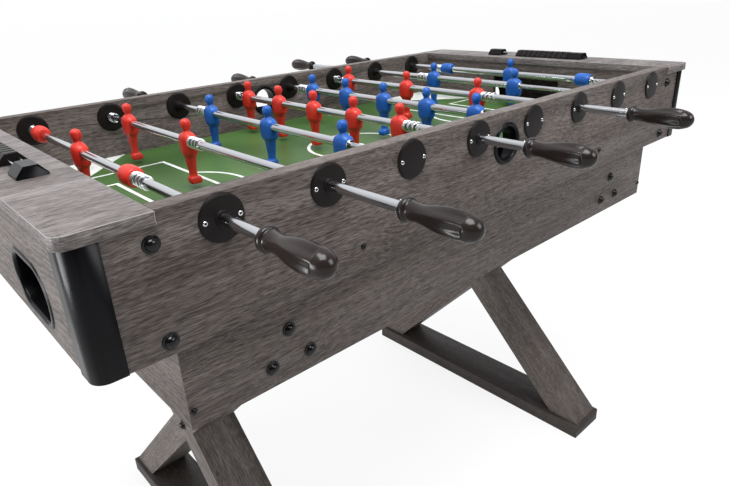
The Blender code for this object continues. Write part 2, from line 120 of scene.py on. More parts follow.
class Graph:
    """A material's node tree, with a short call for each kind of node used here."""

    def __init__(self, name, colour, roughness, **settings):
        self.material = bpy.data.materials.new(name)
        self.material.use_nodes = True
        self.tree = self.material.node_tree
        self.shader = self.tree.nodes["Principled BSDF"]
        self.shader.inputs["Base Color"].default_value = colour
        self.shader.inputs["Roughness"].default_value = roughness
        for socket, value in settings.items():
            self.shader.inputs[socket.replace("_", " ")].default_value = value
        self.material.diffuse_color = colour

    def node(self, kind, inputs=(), output=0, **properties):
        """A new node. inputs is pairs of socket and value, where a value may be a socket."""
        made = self.tree.nodes.new(kind)
        for key, value in properties.items():
            setattr(made, key, value)
        for socket, value in inputs:
            if isinstance(value, bpy.types.NodeSocket):
                self.tree.links.new(value, made.inputs[socket])
            else:
                made.inputs[socket].default_value = value
        return made.outputs[output]

    def math(self, operation, first, second=0.0):
        return self.node("ShaderNodeMath", ((0, first), (1, second)), operation=operation)

    def place(self):
        return self.node("ShaderNodeTexCoord", output="Object")

    def scaled(self, vector, scale):
        inputs = ((0, vector), (1, scale))
        return self.node("ShaderNodeVectorMath", inputs, operation="MULTIPLY")

    def noise(self, vector, scale=1.0, detail=2.0):
        inputs = (("Vector", vector), ("Scale", scale), ("Detail", detail))
        return self.node("ShaderNodeTexNoise", inputs)

    def band(self, value, low, high, to_low=0.0, to_high=1.0):
        """value from low to high, spread over to_low to to_high and held at the ends."""
        inputs = ((0, value), (1, low), (2, high), (3, to_low), (4, to_high))
        return self.node("ShaderNodeMapRange", inputs)

    def mix(self, factor, first, second):
        inputs = ((0, factor), (6, first), (7, second))
        return self.node("ShaderNodeMix", inputs, output=2, data_type="RGBA")

    def bump(self, height, strength, distance):
        inputs = (("Strength", strength), ("Distance", distance), ("Height", height))
        self.join(self.node("ShaderNodeBump", inputs), "Normal")

    def join(self, source, socket):
        self.tree.links.new(source, self.shader.inputs[socket])


def split(graph, vector):
    made = graph.tree.nodes.new("ShaderNodeSeparateXYZ")
    graph.tree.links.new(vector, made.inputs[0])
    return made.outputs


def combine(graph, along, across, depth):
    return graph.node("ShaderNodeCombineXYZ", ((0, along), (1, across), (2, depth)))


CROSS_SHARE = 0.471  # how far up a leg its two beams cross


def grain_vector(graph, run):
    """The place on a board as (along the grain, across it, across it)."""
    x, y, z = split(graph, graph.place())
    if run == "X":
        return combine(graph, x, z, y)
    if run == "Y":
        return combine(graph, y, z, x)
    if run == "ring":  # along each face of a box: X on its long sides, Y on its ends
        normal = graph.node("ShaderNodeNewGeometry", output="True Normal")
        end = graph.math("GREATER_THAN", graph.math("ABSOLUTE", split(graph, normal)[0]), 0.7)
        side = graph.math("SUBTRACT", 1.0, end)
        along = graph.math(
            "ADD", graph.math("MULTIPLY", x, side), graph.math("MULTIPLY", y, end),
        )
        depth = graph.math(
            "ADD", graph.math("MULTIPLY", y, side), graph.math("MULTIPLY", x, end),
        )
        return combine(graph, along, z, depth)
    # "cross": two beams that cross at the table's middle, each with its own grain
    low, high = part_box("leg_frame_left")
    cross_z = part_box("foot_board_left")[1].z + (high.z - low.z) * CROSS_SHARE
    from_y = graph.math("SUBTRACT", y, TABLE_Y)
    from_z = graph.math("SUBTRACT", z, cross_z)
    side = graph.math("SIGN", graph.math("MULTIPLY", from_y, from_z))
    across_y = graph.math("MULTIPLY", from_y, side)
    along = graph.math("MULTIPLY", graph.math("ADD", from_z, across_y), 0.7071)
    across = graph.math("MULTIPLY", graph.math("SUBTRACT", from_z, across_y), 0.7071)
    return combine(graph, along, across, x)


def laminate(name, run, dark, mid, light, roughness=0.46, figure=0.5):
    """Grey-brown driftwood print: fine ticking, wavy tone bands, pores and saw marks."""
    graph = Graph(name, linear(*mid), roughness, Specular_IOR_Level=0.28)
    grain = grain_vector(graph, run)
    bend = graph.noise(graph.scaled(grain, (2.6, 5.0, 5.0)), detail=1.0)
    bend = graph.band(bend, 0.25, 0.75, -0.014, 0.014)
    bend = combine(graph, 0.0, bend, bend)
    wavy = graph.node("ShaderNodeVectorMath", ((0, grain), (1, bend)), operation="ADD")

    tone = graph.noise(graph.scaled(wavy, (2.5, 30.0, 30.0)), detail=3.0)
    streak = graph.noise(graph.scaled(wavy, (20.0, 380.0, 380.0)), detail=2.0)
    tick = graph.noise(graph.scaled(wavy, (85.0, 980.0, 980.0)), detail=2.0)
    pore = graph.noise(graph.scaled(wavy, (52.0, 720.0, 720.0)), detail=0.0)
    saw = graph.noise(graph.scaled(grain, (560.0, 52.0, 52.0)), detail=1.0)
    rings = graph.node(
        "ShaderNodeTexWave",
        (
            ("Vector", graph.scaled(wavy, (5.5, 24.0, 24.0))), ("Scale", 1.4),
            ("Distortion", 9.0), ("Detail", 2.0), ("Detail Scale", 0.8),
        ),
        output=1, bands_direction="Y",
    )

    body = graph.math("MULTIPLY", graph.band(tone, 0.35, 0.65), 0.30)
    body = graph.math("ADD", body, graph.math("MULTIPLY", graph.band(streak, 0.36, 0.64), 0.26))
    body = graph.math("ADD", body, graph.math("MULTIPLY", graph.band(tick, 0.38, 0.62), 0.44))
    body = graph.math("ADD", body, graph.math("MULTIPLY", rings, 0.26 * figure))
    colour = graph.mix(graph.band(body, 0.15, 0.58), linear(*dark), linear(*mid))
    colour = graph.mix(graph.band(body, 0.56, 1.0), colour, linear(*light))
    pores = graph.math("MULTIPLY", graph.band(pore, 0.57, 0.64), 0.62)
    deepest = tuple(value * 0.62 for value in dark)
    colour = graph.mix(pores, colour, linear(*deepest))
    patch = graph.band(graph.noise(graph.scaled(grain, (5.0, 11.0, 11.0)), detail=1.0), 0.55, 0.64)
    saws = graph.math("MULTIPLY", graph.band(saw, 0.60, 0.68), graph.math("MULTIPLY", patch, 0.42))
    colour = graph.mix(saws, colour, linear(*light))
    graph.join(colour, "Base Color")
    graph.join(graph.band(body, 0.2, 0.9, roughness + 0.10, roughness - 0.04), "Roughness")
    relief = graph.math("SUBTRACT", graph.math("MULTIPLY", tick, 0.5), pores)
    graph.bump(relief, 0.30, 0.0003)
    return graph.material


def moulding(name, colour, roughness, grain_size=0.0012, **settings):
    """Moulded plastic with a faint orange-peel skin."""
    graph = Graph(name, linear(*colour), roughness, **settings)
    skin = graph.noise(graph.place(), scale=1 / grain_size, detail=2.0)
    cloud = graph.noise(graph.place(), scale=28.0, detail=2.0)
    darker = linear(*(value * 0.86 for value in colour))
    graph.join(graph.mix(graph.band(cloud, 0.35, 0.65), darker, linear(*colour)), "Base Color")
    graph.join(graph.band(cloud, 0.3, 0.7, roughness + 0.05, roughness - 0.03), "Roughness")
    graph.bump(skin, 0.10, 0.0002)
    return graph.material


def metal(name, colour, roughness, run="Y"):
    """Plated or drawn metal with fine marks along its length."""
    graph = Graph(name, linear(*colour), roughness, Metallic=1.0)
    scale = {"Y": (260.0, 9.0, 260.0), "all": (240.0, 240.0, 240.0)}[run]
    marks = graph.noise(graph.scaled(graph.place(), scale), detail=2.0)
    graph.join(graph.band(marks, 0.3, 0.75, roughness - 0.03, roughness + 0.06), "Roughness")
    graph.bump(marks, 0.05, 0.0001)
    return graph.material


def printed_field():
    graph = Graph("field_print", linear(58, 92, 43), 0.38, Specular_IOR_Level=0.3)
    cloud = graph.noise(graph.place(), scale=5.0, detail=2.0)
    speck = graph.noise(graph.place(), scale=900.0, detail=1.0)
    tone = graph.math("ADD", graph.math("MULTIPLY", cloud, 0.7), graph.math("MULTIPLY", speck, 0.3))
    colours = (linear(47, 78, 34), linear(72, 104, 52))
    graph.join(graph.mix(graph.band(tone, 0.35, 0.65), *colours), "Base Color")
    graph.bump(speck, 0.06, 0.0002)
    return graph.material


OAK = {"dark": (64, 56, 52), "mid": (94, 85, 81), "light": (118, 110, 106)}
# a lighter copy of OAK for the top boards: painted sheen, standing in for the light that falls on
# their tops
LIT_TOP_OAK = {"dark": (84, 78, 76), "mid": (109, 102, 100), "light": (136, 130, 129)}
MATERIALS = {
    "laminate_x": laminate("driftwood_along_x", "X", **OAK),
    "laminate_y": laminate("driftwood_along_y", "Y", **OAK, figure=1.0),
    "laminate_ring": laminate("driftwood_round_a_box", "ring", **OAK),
    "laminate_cross": laminate("driftwood_crossed", "cross", **OAK),
    "laminate_lit_top": laminate("driftwood_top_painted_sheen", "ring", **LIT_TOP_OAK, figure=0.6, roughness=0.42),
    # a pale material for the top boards' bevels: a painted highlight along their edges
    "laminate_edge_highlight": moulding("board_edge_painted_highlight", (150, 147, 146), 0.3),
    "foot": laminate(
        "dark_board", "Y", (38, 33, 31), (52, 46, 43), (66, 60, 56), roughness=0.5, figure=0.2,
    ),
    "black": moulding("black_gloss", (13, 13, 16), 0.26, Specular_IOR_Level=0.14),
    "black_satin": moulding("black_satin", (25, 21, 20), 0.36, Specular_IOR_Level=0.16),
    "grip": moulding("grip_brown_black", (37, 30, 28), 0.20, Specular_IOR_Level=0.3),
    "bolt": moulding("black_oxide", (9, 9, 11), 0.14, Specular_IOR_Level=0.35),
    "red": moulding("red_moulding", (222, 50, 36), 0.40, Specular_IOR_Level=0.4),
    "blue": moulding("blue_moulding", (24, 92, 180), 0.40, Specular_IOR_Level=0.4),
    "white": moulding("white_print", (232, 235, 228), 0.35),
    "chrome": metal("chrome", (200, 202, 205), 0.14),
    "spring": metal("bright_spring", (240, 241, 242), 0.30, run="all"),
    "steel": metal("drawn_steel", (196, 198, 202), 0.20),
    "screw": metal("bright_screw", (225, 226, 228), 0.16, run="all"),
    "field": printed_field(),
}


# ---- Making pieces ------------------------------------------------------------
def add_piece(name, bm, material, body="table", smooth=35):
    """A piece from a bmesh already in the frame's coordinates. It rides on body."""
    mesh = bpy.data.meshes.new(name)
    bmesh.ops.recalc_face_normals(bm, faces=bm.faces)
    bm.to_mesh(mesh)
    bm.free()
    if smooth:
        mesh.shade_smooth()
        mesh.set_sharp_from_angle(angle=radians(smooth))
    return add_mesh(name, mesh, material, body)


def add_mesh(name, mesh, material, body, matrix=None):
    piece = bpy.data.objects.new(name, mesh)
    bpy.context.scene.collection.objects.link(piece)
    if matrix is not None:
        piece.matrix_world = matrix
    if not mesh.materials:
        mesh.materials.append(MATERIALS[material])
    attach(piece, body)
    return piece


def turn_matrix(origin, axis):
    """Turns +Y to the axis given, "X" or "Y" with a sign, and moves to origin."""
    turns = {
        "+Y": Euler((0, 0, 0)), "-Y": Euler((0, 0, pi)),
        "+X": Euler((0, 0, -pi / 2)), "-X": Euler((0, 0, pi / 2)),
    }
    return Matrix.Translation(origin) @ turns[axis].to_matrix().to_4x4()


def add_rings(bm, rings, closed=False):
    """Faces between rings of equally many points. closed joins the last ring to the first."""
    rows = [[bm.verts.new(point) for point in ring] for ring in rings]
    if closed:
        rows.append(rows[0])
    count = len(rows[0])
    for lower, upper in zip(rows, rows[1:]):
        for i in range(count):
            j = (i + 1) % count
            bm.faces.new((lower[i], lower[j], upper[j], upper[i]))
    if not closed:
        bm.faces.new(reversed(rows[0]))
        bm.faces.new(rows[-1])


def fillet(corners, steps=4):
    """(radius, along, rounding) corners of an outline as points, each corner rounded."""
    points = []
    last = len(corners) - 1
    for i, (x, y, rounding) in enumerate(corners):
        here = Vector((x, y))
        if rounding == 0 or i in (0, last):
            points.append(here)
            continue
        back = Vector(corners[i - 1][:2]) - here
        ahead = Vector(corners[i + 1][:2]) - here
        reach = min(rounding, back.length * 0.49, ahead.length * 0.49)
        start, end = here + back.normalized() * reach, here + ahead.normalized() * reach
        for step in range(steps + 1):
            share = step / steps
            first, second = start.lerp(here, share), here.lerp(end, share)
            points.append(first.lerp(second, share))
    return [(point.x, point.y) for point in points]


def add_turned(bm, outline, matrix, sides=48, closed=False):
    """Turns (radius, along) points about +Y, then places them with matrix."""
    rings = []
    for radius, along in outline:
        radius = max(radius, 0.00002)
        ring = []
        for step in range(sides):
            angle = tau * step / sides
            ring.append(matrix @ Vector((radius * cos(angle), along, radius * sin(angle))))
        rings.append(ring)
    add_rings(bm, rings, closed)


def add_wire(bm, points, radius, sides=8):
    """A round wire along a list of points, with flat ends."""
    points = [Vector(point) for point in points]
    rings = []
    side = None
    for i, point in enumerate(points):
        ahead = points[min(i + 1, len(points) - 1)] - points[max(i - 1, 0)]
        ahead.normalize()
        if side is None:
            side = ahead.orthogonal().normalized()
        side = (side - ahead * side.dot(ahead)).normalized()
        other = ahead.cross(side)
        rings.append([
            point + radius * (side * cos(tau * k / sides) + other * sin(tau * k / sides))
            for k in range(sides)
        ])
    add_rings(bm, rings)


# ---- Cabinet and base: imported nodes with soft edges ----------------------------
def dress(node, material, bevel=0.0008, edge=None):
    """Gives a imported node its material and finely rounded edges, in edge's material if given."""
    piece = frame["nodes"][node]
    piece.data.materials.clear()
    piece.data.materials.append(MATERIALS[material])
    if bevel:
        weld = piece.modifiers.new("weld", "WELD")
        weld.merge_threshold = 0.00001
        rounding = piece.modifiers.new("rounding", "BEVEL")
        rounding.width = bevel
        rounding.segments = 2
        rounding.limit_method = "ANGLE"
        rounding.angle_limit = radians(40)
        rounding.harden_normals = True
        if edge:
            piece.data.materials.append(MATERIALS[edge])
            rounding.material = 1
    piece.data.shade_smooth()
    piece.data.set_sharp_from_angle(angle=radians(35))


def dress_cabinet():
    for side in ("front", "back"):
        dress(f"side_panel_{side}", "laminate_x", bevel=0.0006)
        for end in ("left", "right"):
            dress(f"corner_trim_{side}_{end}", "black")
    for end in ("left", "right"):
        dress(f"end_box_{end}", "laminate_y", bevel=0.0005)
        # top boards: lighter oak as painted sheen, and a pale material on their bevels as a painted
        # highlight along the edges
        dress(f"top_board_{end}", "laminate_lit_top", bevel=0.0009, edge="laminate_edge_highlight")
        dress(f"leg_frame_{end}", "laminate_cross")
        dress(f"foot_board_{end}", "foot", bevel=0.0006)
    dress("playfield", "field", bevel=0.0)
    dress("apron", "laminate_ring")


# ---- Field lines ---------------------------------------------------------------
PENALTY_X, PENALTY_Y = 0.337, 0.213
GOAL_AREA_X, GOAL_AREA_Y = 0.460, 0.138
ARC_CENTRE_X, ARC_R = 0.406, 0.118
CENTRE_R = 0.105
CORNER_X, CORNER_Y = 0.362, 0.103
LINES_HALF_L, LINES_HALF_W = 0.6012, 0.3418
SPOT_R = 0.012


def add_strip(bm, points, width):
    """A flat printed line along points in the plane of the field, mitred at its turns."""
    z = FIELD_TOP + LINE_T
    flat = [Vector(point) for point in points]
    pairs = []
    for i, point in enumerate(flat):
        back = (point - flat[i - 1]).normalized() if i else None
        ahead = (flat[i + 1] - point).normalized() if i + 1 < len(flat) else None
        run = (back + ahead).normalized() if back and ahead else (back or ahead)
        normal = Vector((-run.y, run.x))
        stretch = 1 / max(0.5, normal.dot(Vector((-ahead.y, ahead.x)))) if back and ahead else 1
        reach = normal * (width / 2 * stretch)
        pairs.append([
            bm.verts.new(table_point(*(point + reach), z)),
            bm.verts.new(table_point(*(point - reach), z)),
        ])
    for (left, right), (next_left, next_right) in zip(pairs, pairs[1:]):
        bm.faces.new((left, right, next_right, next_left))


def circle_points(x, y, radius, start, end, steps):
    angles = [start + (end - start) * step / steps for step in range(steps + 1)]
    return [(x + radius * cos(angle), y + radius * sin(angle)) for angle in angles]


def make_field_lines():
    bm = bmesh.new()
    half_l, half_w = LINES_HALF_L, LINES_HALF_W
    add_strip(bm, [(0, -half_w), (0, -CENTRE_R)], LINE_W)
    add_strip(bm, [(0, CENTRE_R), (0, half_w)], LINE_W)
    add_strip(bm, [(0, -CENTRE_R), (0, CENTRE_R)], LINE_W)
    add_strip(bm, circle_points(0, 0, CENTRE_R, 0, tau, 72), LINE_W)
    for end in (-1, 1):
        def at(x, y):
            return (end * x, y)
        for x, y in ((PENALTY_X, PENALTY_Y), (GOAL_AREA_X, GOAL_AREA_Y)):
            share = (half_w - y) / (half_w - CORNER_Y)
            out = min(half_l, CORNER_X + (half_l - CORNER_X) * share)  # where the corner begins
            add_strip(bm, [at(out, -y), at(x, -y), at(x, y), at(out, y)], LINE_W)
        opening = acos((ARC_CENTRE_X - PENALTY_X) / ARC_R)
        arc = circle_points(ARC_CENTRE_X, 0, ARC_R, pi - opening, pi + opening, 24)
        add_strip(bm, [at(x, y) for x, y in arc], LINE_W)
        for side in (-1, 1):
            corners = [(CORNER_X, half_w), (half_l, half_w), (half_l, CORNER_Y)]
            z = FIELD_TOP + 1.5 * LINE_T
            bm.faces.new([bm.verts.new(table_point(end * x, side * y, z)) for x, y in corners])
    for face in bm.faces:
        if face.normal.z < 0:
            face.normal_flip()
    spot = circle_points(0, 0, SPOT_R, 0, tau, 24)[:-1]
    z = FIELD_TOP + LINE_T
    bm.faces.new([bm.verts.new(table_point(x, y, z)) for x, y in spot])
    lines = add_piece("field_lines", bm, "white", smooth=0)


# ---- Players -------------------------------------------------------------------
# height, half depth, half width, forward shift, squareness: bottom to top, in millimetres
PLAYER_SECTIONS = (
    (-73.2, 8.4, 7.0, 2.0, 7.0),
    (-72.6, 9.6, 8.2, 2.0, 7.0),
    (-67.5, 10.4, 8.8, 1.9, 7.0),
    (-63.0, 9.6, 8.5, 1.2, 6.0),
    (-61.0, 7.4, 7.8, 0.0, 3.5),
    (-58.5, 6.2, 7.2, 0.0, 2.8),
    (-52.0, 6.2, 7.4, 0.0, 2.6),
    (-44.0, 7.0, 8.3, -0.2, 2.5),
    (-36.0, 7.9, 9.4, -0.3, 2.5),
    (-29.0, 8.6, 10.6, -0.3, 2.5),
    (-24.5, 9.6, 12.6, -0.2, 2.5),
    (-21.5, 11.2, 15.6, 0.0, 2.6),
    (-18.0, 12.2, 17.2, 0.0, 2.6),
    (-10.0, 12.8, 18.2, 0.0, 2.5),
    (0.0, 13.2, 18.8, 0.0, 2.4),
    (6.0, 12.6, 18.2, 0.0, 2.3),
    (10.0, 11.2, 16.0, 0.0, 2.2),
    (13.0, 9.0, 12.2, 0.0, 2.1),
    (15.3, 6.6, 7.8, 0.0, 2.1),
    (17.2, 5.6, 5.9, 0.0, 2.1),
    (19.2, 5.8, 5.9, 0.2, 2.1),
    (21.6, 7.2, 6.9, 0.4, 2.2),
    (25.0, 8.3, 7.8, 0.5, 2.2),
    (29.0, 8.5, 8.0, 0.3, 2.2),
    (32.5, 7.9, 7.6, 0.0, 2.2),
    (35.2, 6.1, 5.9, 0.0, 2.1),
    (36.7, 3.8, 3.7, 0.0, 2.0),
    (37.3, 1.2, 1.2, 0.0, 2.0),
)
PLAYER_SHIFT = -0.002  # towards the front, from the middle of each player's place


def smooth_sections(sections, steps=2):
    """More sections between the given ones, on a curve through them."""
    found = []
    count = len(sections)
    for i in range(count - 1):
        points = [sections[max(0, min(count - 1, i + k))] for k in (-1, 0, 1, 2)]
        for step in range(steps):
            t = step / steps
            found.append([
                0.5 * (2 * b + (c - a) * t + (2 * a - 5 * b + 4 * c - d) * t * t
                       + (3 * b - a - 3 * c + d) * t ** 3)
                for a, b, c, d in zip(*points)
            ])
    return found + [list(sections[-1])]


def player_radius(angle, z, half_x, half_y, square):
    """How far a player's skin is from its middle, at an angle from straight ahead."""
    across = (abs(cos(angle)) / half_x) ** square + (abs(sin(angle)) / half_y) ** square
    radius = across ** (-1 / square)
    arm = exp(-((z + 7) / 15) ** 4)  # 1 between shoulder and hand
    leg = 1 / (1 + exp((z + 30) / 2.5)) * (1 - 1 / (1 + exp((z + 59) / 1.2)))
    for seam in (0.62, pi - 0.62):
        away = abs(abs(angle if angle <= pi else tau - angle) - seam)
        radius -= 1.3 * arm * exp(-(away / 0.12) ** 2)
    between = abs(sin(angle)) if abs(cos(angle)) > 0.5 else 1.0
    radius -= 1.5 * leg * exp(-(between / 0.22) ** 2)
    return radius


def drilled(blank):
    """The mesh with a hole along Y for the tube to pass through."""
    bm = bmesh.new()
    radius = TUBE_R + 0.0001
    bmesh.ops.create_cone(
        bm, cap_ends=True, segments=40, radius1=radius, radius2=radius, depth=0.06,
        matrix=Matrix.Rotation(pi / 2, 4, "X"),
    )
    drill_mesh = bpy.data.meshes.new("drill")
    bm.to_mesh(drill_mesh)
    bm.free()
    work = bpy.data.objects.new("work", blank)
    drill = bpy.data.objects.new("drill", drill_mesh)
    for item in (work, drill):
        bpy.context.scene.collection.objects.link(item)
    hole = work.modifiers.new("hole", "BOOLEAN")
    hole.operation = "DIFFERENCE"
    hole.solver = "EXACT"
    hole.object = drill
    depsgraph = bpy.context.evaluated_depsgraph_get()
    mesh = bpy.data.meshes.new_from_object(work.evaluated_get(depsgraph))
    mesh.name = blank.name
    for item in (work, drill):
        bpy.data.objects.remove(item)
    return mesh


def player_mesh(team, facing):
    """One player round the rod's axis at the origin. facing is +1 or -1 along X."""
    sides = 40
    rings = []
    for z, half_x, half_y, shift, square in smooth_sections(PLAYER_SECTIONS):
        ring = []
        for step in range(sides):
            angle = tau * step / sides
            radius = player_radius(angle, z, half_x, half_y, square)
            x = facing * (radius * cos(angle) + shift)
            y = radius * sin(angle)
            ring.append((x / 1000, y / 1000, z / 1000))
        rings.append(ring)
    bm = bmesh.new()
    add_rings(bm, rings)
    bmesh.ops.recalc_face_normals(bm, faces=bm.faces)
    blank = bpy.data.meshes.new(f"{team}_player")
    bm.to_mesh(blank)
    bm.free()
    mesh = drilled(blank)
    mesh.shade_smooth()
    mesh.set_sharp_from_angle(angle=radians(50))
    mesh.materials.append(MATERIALS[team])
    return mesh


# ---- Rods ----------------------------------------------------------------------
def man_offsets(men):
    return [(i - (men - 1) / 2) * MEN_SPACING[men] for i in range(men)]


def group_reach(men):
    if men == 1:
        return BUMPER_OFFSET + BUMPER_HALF
    return man_offsets(men)[-1] + MAN_HALF_WIDTH


def helix(radius, start, length, turns):
    """Points of a coil round +Y, twenty to a turn."""
    count = turns * 20
    points = []
    for step in range(count + 1):
        share = step / count
        angle = tau * turns * share
        points.append((radius * cos(angle), start + length * share, radius * sin(angle)))
    return points


class Rod:
    """Where one rod and its pieces are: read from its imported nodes."""

    def __init__(self, label):
        self.label = label
        self.team, role = label.split("_")
        self.men = MEN[role]
        self.inner, self.outer = f"{label}_inner", f"{label}_men"
        low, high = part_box(f"{label}_inner_rod")
        self.x, self.z = (low.x + high.x) / 2, (low.z + high.z) / 2
        self.thin = (low.y, high.y)
        handle_low, handle_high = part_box(f"{label}_handle")
        self.side = 1 if handle_low.y > TABLE_Y else -1
        self.collar = handle_low.y if self.side > 0 else handle_high.y
        self.handle_length = handle_high.y - handle_low.y
        tube_low, tube_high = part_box(f"{label}_men_tube")
        self.ring_end = tube_low.y if self.side > 0 else tube_high.y
        self.middle = self.ring_end + self.side * (group_reach(self.men) + RING_LENGTH)

    def matrix(self, y):
        """Places a piece drawn along +Y so that it runs towards the handle from y."""
        return turn_matrix((self.x, y, self.z), "+Y" if self.side > 0 else "-Y")


def make_tube(rod):
    end = abs(rod.collar - rod.ring_end) + TUBE_IN_GRIP
    outline = fillet((
        (TUBE_BORE_R, end - 0.002, 0), (TUBE_BORE_R, 0.0, 0.0005), (TUBE_R, 0.0, 0.0006),
        (TUBE_R, end, 0.0006), (0.0, end, 0),
    ))
    outline.insert(0, (0.0, end - 0.002))
    bm = bmesh.new()
    add_turned(bm, outline, rod.matrix(rod.ring_end), sides=40)
    tube = add_piece(f"{rod.label}_tube", bm, "chrome", rod.outer)
    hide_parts(f"{rod.label}_men_tube")


def make_spring(rod):
    """The long bright spring next to the last man, towards the handle."""
    wire = SPRING_WIRE
    start = rod.middle + rod.side * group_reach(rod.men)
    matrix = rod.matrix(start)
    mean = TUBE_R + wire + 0.0001
    points = helix(mean, wire, TIGHT_COILS, 2)
    points += helix(mean, wire + TIGHT_COILS, SPRING_LENGTH - TIGHT_COILS - 0.0040, 3)[1:]
    points = [matrix @ Vector(point) for point in points]
    bm = bmesh.new()
    add_wire(bm, points, wire, sides=10)
    add_piece(f"{rod.label}_spring", bm, "spring", rod.outer, smooth=60)


def make_end_ring(rod):
    outline = fillet((
        (TUBE_R + 0.0001, 0.0004, 0.0003), (0.0088, 0.0004, 0.0010), (0.0088, 0.0026, 0.0003),
        (0.0080, 0.0032, 0.0003), (0.0080, 0.0042, 0.0003), (0.0090, 0.0048, 0.0003),
        (0.0090, RING_LENGTH - 0.0002, 0.0008), (TUBE_R + 0.0001, RING_LENGTH - 0.0002, 0.0003),
    ))
    bm = bmesh.new()
    add_turned(bm, outline, rod.matrix(rod.ring_end), closed=True)
    add_piece(f"{rod.label}_end_ring", bm, "chrome", rod.outer)


def make_players(rod, meshes):
    for i, offset in enumerate(man_offsets(rod.men)):
        place = Matrix.Translation((rod.x, rod.middle + offset + PLAYER_SHIFT, rod.z))
        add_mesh(f"{rod.label}_player_{i + 1}", meshes[rod.team], rod.team, rod.outer, place)
    if rod.men > 1:
        return
    for i, away in enumerate((-1, 1)):
        centre = (rod.x, rod.middle + away * BUMPER_OFFSET, rod.z)
        matrix = turn_matrix(centre, "+Y" if away > 0 else "-Y")
        make_bumper(rod, f"{rod.label}_bumper_{i + 1}", matrix)


def make_bumper(rod, name, matrix):
    """A rubber barrel, drawn with its outer end towards +Y."""
    bore = TUBE_R + 0.0001
    outline = fillet((
        (bore, -BUMPER_HALF, 0.0005), (0.0118, -BUMPER_HALF, 0.002), (0.0144, -0.012, 0.004),
        (BUMPER_R, -0.005, 0.003), (BUMPER_R, 0.007, 0.003),
        (0.0142, 0.014, 0.004), (0.0118, BUMPER_HALF, 0.002), (bore, BUMPER_HALF, 0.0005),
    ))
    bm = bmesh.new()
    add_turned(bm, outline, matrix, sides=56, closed=True)
    add_piece(name, bm, rod.team, rod.outer)


# along the grip from its collar, radius, depth of the scallops: in millimetres
GRIP_PROFILE = (
    (0.0, 10.6, 0.0), (0.5, 11.7, 0.0), (1.6, 12.2, 0.0), (2.3, 12.1, 0.0), (2.9, 13.2, 0.0),
    (4.2, 14.3, 0.0), (6.5, 14.7, 0.0), (9.0, 14.3, 0.0), (10.6, 13.3, 0.0), (11.4, 12.0, 0.0),
    (14.0, 11.3, 0.0), (20.0, 10.9, 0.0), (27.0, 10.9, 0.0), (34.0, 11.6, 0.0), (41.0, 12.9, 0.3),
    (50.0, 14.6, 1.0), (60.0, 16.1, 1.7), (70.0, 17.0, 2.3), (80.0, 17.2, 2.8), (88.0, 16.8, 3.1),
    (92.0, 16.2, 3.0), (94.4, 15.7, 2.1), (95.8, 15.3, 0.7), (97.0, 14.8, 0.0), (100.0, 13.8, 0.0),
    (104.0, 12.2, 0.0), (107.5, 9.6, 0.0), (110.3, 5.8, 0.0), (111.8, 2.0, 0.0),
)
GRIP_DRAWN_LENGTH = 0.112  # the profile is stretched from this to the handle's own length
GRIP_SCALLOPS = 6


def make_grip(rod):
    """Turned grip with shallow scallops on its swell and a domed end."""
    stretch = rod.handle_length / GRIP_DRAWN_LENGTH
    matrix = rod.matrix(rod.collar)
    sides = 72
    rings = []
    for along, radius, depth in smooth_sections(GRIP_PROFILE):
        ring = []
        for step in range(sides):
            angle = tau * step / sides
            hollow = abs(cos(angle * GRIP_SCALLOPS / 2)) ** 1.6
            here = (radius - max(depth, 0) * hollow) / 1000
            point = Vector((here * cos(angle), along * stretch / 1000, here * sin(angle)))
            ring.append(matrix @ point)
        rings.append(ring)
    bm = bmesh.new()
    add_rings(bm, rings)
    grip = add_piece(f"{rod.label}_grip", bm, "grip", rod.outer, smooth=50)
    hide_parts(f"{rod.label}_handle")
    pin = bmesh.new()
    place = Matrix.Translation((rod.x, rod.collar - rod.side * 0.008, rod.z))
    turned = place @ Matrix.Rotation(radians(35), 4, "Y") @ Matrix.Rotation(pi / 2, 4, "X")
    head = 0.0083
    outline = fillet((
        (0.0, -head, 0), (0.0016, -head, 0.0005), (0.0018, 0.0, 0), (0.0016, head, 0.0005),
        (0.0, head, 0),
    ))
    add_turned(pin, outline, turned, sides=16)
    add_piece(f"{rod.label}_pin", pin, "steel", rod.outer)


def make_thin_rod(rod):
    """The inner rod, with the short buffer spring at the blank bearing."""
    span = rod.thin[1] - rod.thin[0]
    start = rod.thin[0] if rod.side > 0 else rod.thin[1]
    outline = fillet((
        (0.0, 0.0, 0), (THIN_ROD_R, 0.0, 0.0005), (THIN_ROD_R, span, 0.0005), (0.0, span, 0),
    ))
    bm = bmesh.new()
    add_turned(bm, outline, rod.matrix(start), sides=32)
    thin = add_piece(f"{rod.label}_thin_rod", bm, "steel", rod.inner)
    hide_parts(f"{rod.label}_inner_rod")
    face = TABLE_Y - rod.side * (WALL_IN - 2 * GAP - FLANGE_T)
    matrix = rod.matrix(face)
    coil = helix(SPRING_R - BUFFER_WIRE - GAP, 0.0016, BUFFER_LENGTH - 0.003, 4)
    spring = bmesh.new()
    add_wire(spring, [matrix @ Vector(point) for point in coil], BUFFER_WIRE, sides=10)
    add_piece(f"{rod.label}_buffer", spring, "chrome", rod.inner, smooth=60)


# ---- Bearings and fixings ------------------------------------------------------
def add_screw(bm, matrix, radius=0.0031, proud=0.0012):
    """A round screw head with a deep recess, drawn along +Y from the surface."""
    outline = fillet((
        (0.0, -0.0012, 0), (radius * 0.9, -0.0012, 0), (radius, proud * 0.5, 0.0005),
        (radius * 0.78, proud, 0.0005), (radius * 0.52, proud, 0.0002),
        (radius * 0.48, -0.0010, 0.0001), (0.0, -0.0010, 0),
    ))
    add_turned(bm, outline, matrix, sides=24)


